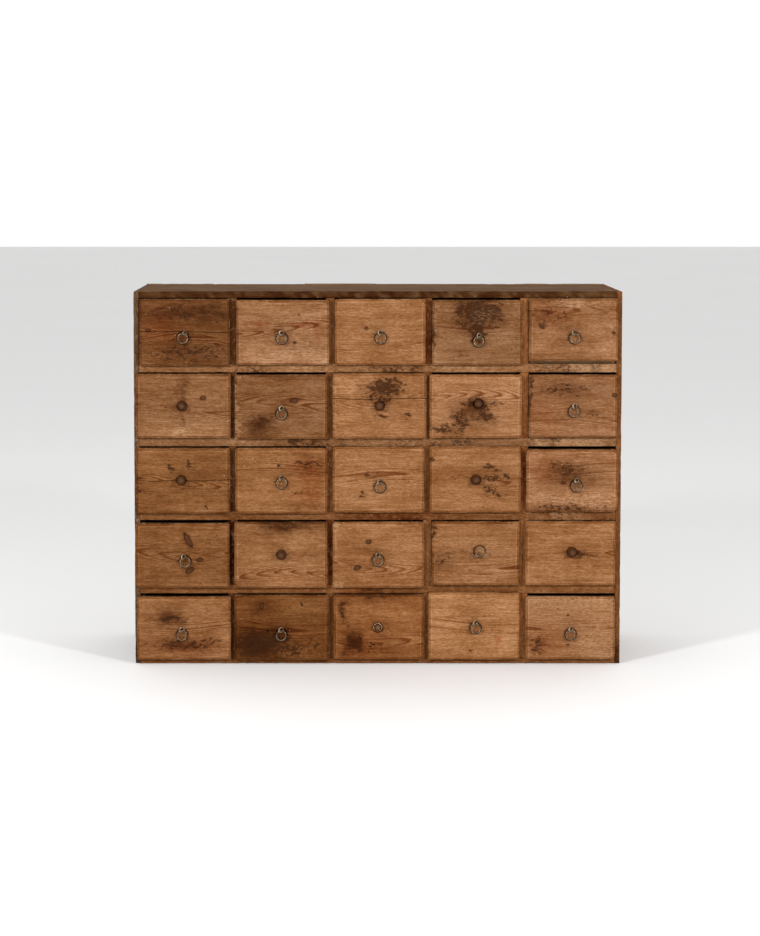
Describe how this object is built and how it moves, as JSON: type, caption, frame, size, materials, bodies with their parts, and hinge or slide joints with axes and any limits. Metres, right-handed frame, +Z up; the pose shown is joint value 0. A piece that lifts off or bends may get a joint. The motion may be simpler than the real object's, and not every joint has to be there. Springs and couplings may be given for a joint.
{
  "type": "apothecary cabinet",
  "caption": "Free-standing pine apothecary cabinet: a nailed case with a grid of small lipped drawers that slide out, pulled by iron rings and turned knobs.",
  "frame": {"origin": "on the floor, in the middle of the case's width and of its depth from the boards' front edges to the back of the planks", "axes": "+X to the right of someone who faces the drawers, +Y from the drawers to the back, +Z up; the drawers open towards -Y"},
  "size_m": [1.2, 0.3679, 0.925],
  "materials": {
    "carcass_pine": "old waxed pine, dull, worn at the edges",
    "top_pine": "dark grey-brown pine, dry and rubbed",
    "back_pine": "raw sawn pine, aged grey-brown",
    "drawer_pine": "old stripped pine with stains, knots and traces of finish, satin",
    "drawer_box_pine": "raw pine inside the drawers, dry",
    "turned_wood": "dark turned wood, rubbed smooth",
    "iron": "bare iron wire, handled, grey-brown with a slight shine"
  },
  "bodies": {
    "carcass": {"left_side": "carcass_pine", "right_side": "carcass_pine", "top_board": "top_pine", "bottom_board": "carcass_pine", "shelf_1": "carcass_pine", "shelf_2": "carcass_pine", "shelf_3": "carcass_pine", "shelf_4": "carcass_pine", "partition_1": "carcass_pine", "partition_2": "carcass_pine", "partition_3": "carcass_pine", "partition_4": "carcass_pine", "back_board_1": "back_pine", "back_board_2": "back_pine", "back_board_3": "back_pine", "back_board_4": "back_pine", "back_board_5": "back_pine", "back_board_6": "back_pine"},
    "drawer_r1c1": {"drawer_r1c1": "drawer_pine"},
    "ring_r1c1": {"ring_r1c1": "iron"},
    "drawer_r1c2": {"drawer_r1c2": "drawer_pine"},
    "ring_r1c2": {"ring_r1c2": "iron"},
    "drawer_r1c3": {"drawer_r1c3": "drawer_pine"},
    "ring_r1c3": {"ring_r1c3": "iron"},
    "drawer_r1c4": {"drawer_r1c4": "drawer_pine"},
    "ring_r1c4": {"ring_r1c4": "iron"},
    "drawer_r1c5": {"drawer_r1c5": "drawer_pine"},
    "ring_r1c5": {"ring_r1c5": "iron"},
    "drawer_r2c1": {"drawer_r2c1": "drawer_pine"},
    "drawer_r2c2": {"drawer_r2c2": "drawer_pine"},
    "ring_r2c2": {"ring_r2c2": "iron"},
    "drawer_r2c3": {"drawer_r2c3": "drawer_pine"},
    "drawer_r2c4": {"drawer_r2c4": "drawer_pine"},
    "drawer_r2c5": {"drawer_r2c5": "drawer_pine"},
    "ring_r2c5": {"ring_r2c5": "iron"},
    "drawer_r3c1": {"drawer_r3c1": "drawer_pine"},
    "drawer_r3c2": {"drawer_r3c2": "drawer_pine"},
    "ring_r3c2": {"ring_r3c2": "iron"},
    "drawer_r3c3": {"drawer_r3c3": "drawer_pine"},
    "ring_r3c3": {"ring_r3c3": "iron"},
    "drawer_r3c4": {"drawer_r3c4": "drawer_pine"},
    "drawer_r3c5": {"drawer_r3c5": "drawer_pine"},
    "ring_r3c5": {"ring_r3c5": "iron"},
    "drawer_r4c1": {"drawer_r4c1": "drawer_pine"},
    "ring_r4c1": {"ring_r4c1": "iron"},
    "drawer_r4c2": {"drawer_r4c2": "drawer_pine"},
    "drawer_r4c3": {"drawer_r4c3": "drawer_pine"},
    "ring_r4c3": {"ring_r4c3": "iron"},
    "drawer_r4c4": {"drawer_r4c4": "drawer_pine"},
    "ring_r4c4": {"ring_r4c4": "iron"},
    "drawer_r4c5": {"drawer_r4c5": "drawer_pine"},
    "drawer_r5c1": {"drawer_r5c1": "drawer_pine"},
    "ring_r5c1": {"ring_r5c1": "iron"},
    "drawer_r5c2": {"drawer_r5c2": "drawer_pine"},
    "ring_r5c2": {"ring_r5c2": "iron"},
    "drawer_r5c3": {"drawer_r5c3": "drawer_pine"},
    "drawer_r5c4": {"drawer_r5c4": "drawer_pine"},
    "ring_r5c4": {"ring_r5c4": "iron"},
    "drawer_r5c5": {"drawer_r5c5": "drawer_pine"},
    "ring_r5c5": {"ring_r5c5": "iron"}
  },
  "joints": [
    {"name": "r1c1_slide", "type": "slide", "parent": "carcass", "child": "drawer_r1c1", "axis": [0, -1, 0], "range_m": [0, 0.25]},
    {"name": "r1c1_ring", "type": "hinge", "parent": "drawer_r1c1", "child": "ring_r1c1", "pos_m": [-0.47275, -0.18897, 0.8203], "axis": [-0.9063, 0, 0.4226], "range_deg": [-10, 190]},
    {"name": "r1c2_slide", "type": "slide", "parent": "carcass", "child": "drawer_r1c2", "axis": [0, -1, 0], "range_m": [0, 0.25]},
    {"name": "r1c2_ring", "type": "hinge", "parent": "drawer_r1c2", "child": "ring_r1c2", "pos_m": [-0.23625, -0.18759, 0.8203], "axis": [-0.9976, 0, -0.0698], "range_deg": [-10, 190]},
    {"name": "r1c3_slide", "type": "slide", "parent": "carcass", "child": "drawer_r1c3", "axis": [0, -1, 0], "range_m": [0, 0.25]},
    {"name": "r1c3_ring", "type": "hinge", "parent": "drawer_r1c3", "child": "ring_r1c3", "pos_m": [0.0055, -0.18759, 0.82155], "axis": [-0.9945, 0, -0.1045], "range_deg": [-10, 190]},
    {"name": "r1c4_slide", "type": "slide", "parent": "carcass", "child": "drawer_r1c4", "axis": [0, -1, 0], "range_m": [0, 0.25]},
    {"name": "r1c4_ring", "type": "hinge", "parent": "drawer_r1c4", "child": "ring_r1c4", "pos_m": [0.2475, -0.18759, 0.8138], "axis": [-0.9976, 0, 0.0698], "range_deg": [-10, 190]},
    {"name": "r1c5_slide", "type": "slide", "parent": "carcass", "child": "drawer_r1c5", "axis": [0, -1, 0], "range_m": [0, 0.25]},
    {"name": "r1c5_ring", "type": "hinge", "parent": "drawer_r1c5", "child": "ring_r1c5", "pos_m": [0.48075, -0.18759, 0.8213], "axis": [-0.9945, 0, -0.1045], "range_deg": [-10, 190]},
    {"name": "r2c1_slide", "type": "slide", "parent": "carcass", "child": "drawer_r2c1", "axis": [0, -1, 0], "range_m": [0, 0.25]},
    {"name": "r2c2_slide", "type": "slide", "parent": "carcass", "child": "drawer_r2c2", "axis": [0, -1, 0], "range_m": [0, 0.25]},
    {"name": "r2c2_ring", "type": "hinge", "parent": "drawer_r2c2", "child": "ring_r2c2", "pos_m": [-0.2365, -0.18759, 0.6348], "axis": [-1, 0, 0], "range_deg": [-10, 190]},
    {"name": "r2c3_slide", "type": "slide", "parent": "carcass", "child": "drawer_r2c3", "axis": [0, -1, 0], "range_m": [0, 0.25]},
    {"name": "r2c4_slide", "type": "slide", "parent": "carcass", "child": "drawer_r2c4", "axis": [0, -1, 0], "range_m": [0, 0.25]},
    {"name": "r2c5_slide", "type": "slide", "parent": "carcass", "child": "drawer_r2c5", "axis": [0, -1, 0], "range_m": [0, 0.25]},
    {"name": "r2c5_ring", "type": "hinge", "parent": "drawer_r2c5", "child": "ring_r2c5", "pos_m": [0.48275, -0.18759, 0.6408], "axis": [-0.9962, 0, 0.0872], "range_deg": [-10, 190]},
    {"name": "r3c1_slide", "type": "slide", "parent": "carcass", "child": "drawer_r3c1", "axis": [0, -1, 0], "range_m": [0, 0.25]},
    {"name": "r3c2_slide", "type": "slide", "parent": "carcass", "child": "drawer_r3c2", "axis": [0, -1, 0], "range_m": [0, 0.25]},
    {"name": "r3c2_ring", "type": "hinge", "parent": "drawer_r3c2", "child": "ring_r3c2", "pos_m": [-0.2365, -0.18759, 0.4633], "axis": [-1, 0, 0], "range_deg": [-10, 190]},
    {"name": "r3c3_slide", "type": "slide", "parent": "carcass", "child": "drawer_r3c3", "axis": [0, -1, 0], "range_m": [0, 0.25]},
    {"name": "r3c3_ring", "type": "hinge", "parent": "drawer_r3c3", "child": "ring_r3c3", "pos_m": [0.00475, -0.18759, 0.4533], "axis": [-0.9986, 0, -0.0523], "range_deg": [-10, 190]},
    {"name": "r3c4_slide", "type": "slide", "parent": "carcass", "child": "drawer_r3c4", "axis": [0, -1, 0], "range_m": [0, 0.25]},
    {"name": "r3c5_slide", "type": "slide", "parent": "carcass", "child": "drawer_r3c5", "axis": [0, -1, 0], "range_m": [0, 0.25]},
    {"name": "r3c5_ring", "type": "hinge", "parent": "drawer_r3c5", "child": "ring_r3c5", "pos_m": [0.489, -0.18759, 0.45655], "axis": [-0.9994, 0, 0.0349], "range_deg": [-10, 190]},
    {"name": "r4c1_slide", "type": "slide", "parent": "carcass", "child": "drawer_r4c1", "axis": [0, -1, 0], "range_m": [0, 0.25]},
    {"name": "r4c1_ring", "type": "hinge", "parent": "drawer_r4c1", "child": "ring_r4c1", "pos_m": [-0.47875, -0.18874, 0.26805], "axis": [-0.9455, 0, -0.3256], "range_deg": [-10, 190]},
    {"name": "r4c2_slide", "type": "slide", "parent": "carcass", "child": "drawer_r4c2", "axis": [0, -1, 0], "range_m": [0, 0.25]},
    {"name": "r4c3_slide", "type": "slide", "parent": "carcass", "child": "drawer_r4c3", "axis": [0, -1, 0], "range_m": [0, 0.25]},
    {"name": "r4c3_ring", "type": "hinge", "parent": "drawer_r4c3", "child": "ring_r4c3", "pos_m": [0.00075, -0.18759, 0.27155], "axis": [-1, 0, 0], "range_deg": [-10, 190]},
    {"name": "r4c4_slide", "type": "slide", "parent": "carcass", "child": "drawer_r4c4", "axis": [0, -1, 0], "range_m": [0, 0.25]},
    {"name": "r4c4_ring", "type": "hinge", "parent": "drawer_r4c4", "child": "ring_r4c4", "pos_m": [0.24375, -0.18946, 0.27275], "axis": [0.788, 0, -0.6157], "range_deg": [0, 184]},
    {"name": "r4c5_slide", "type": "slide", "parent": "carcass", "child": "drawer_r4c5", "axis": [0, -1, 0], "range_m": [0, 0.25]},
    {"name": "r5c1_slide", "type": "slide", "parent": "carcass", "child": "drawer_r5c1", "axis": [0, -1, 0], "range_m": [0, 0.25]},
    {"name": "r5c1_ring", "type": "hinge", "parent": "drawer_r5c1", "child": "ring_r5c1", "pos_m": [-0.48325, -0.18759, 0.0858], "axis": [-1, 0, 0], "range_deg": [-10, 190]},
    {"name": "r5c2_slide", "type": "slide", "parent": "carcass", "child": "drawer_r5c2", "axis": [0, -1, 0], "range_m": [0, 0.25]},
    {"name": "r5c2_ring", "type": "hinge", "parent": "drawer_r5c2", "child": "ring_r5c2", "pos_m": [-0.2385, -0.18759, 0.0853], "axis": [-0.9998, 0, -0.0175], "range_deg": [-10, 190]},
    {"name": "r5c3_slide", "type": "slide", "parent": "carcass", "child": "drawer_r5c3", "axis": [0, -1, 0], "range_m": [0, 0.25]},
    {"name": "r5c4_slide", "type": "slide", "parent": "carcass", "child": "drawer_r5c4", "axis": [0, -1, 0], "range_m": [0, 0.25]},
    {"name": "r5c4_ring", "type": "hinge", "parent": "drawer_r5c4", "child": "ring_r5c4", "pos_m": [0.24075, -0.18759, 0.10255], "axis": [-0.9976, 0, -0.0698], "range_deg": [-10, 190]},
    {"name": "r5c5_slide", "type": "slide", "parent": "carcass", "child": "drawer_r5c5", "axis": [0, -1, 0], "range_m": [0, 0.25]},
    {"name": "r5c5_ring", "type": "hinge", "parent": "drawer_r5c5", "child": "ring_r5c5", "pos_m": [0.477, -0.18759, 0.08705], "axis": [-1, 0, 0], "range_deg": [-10, 190]}
  ]
}
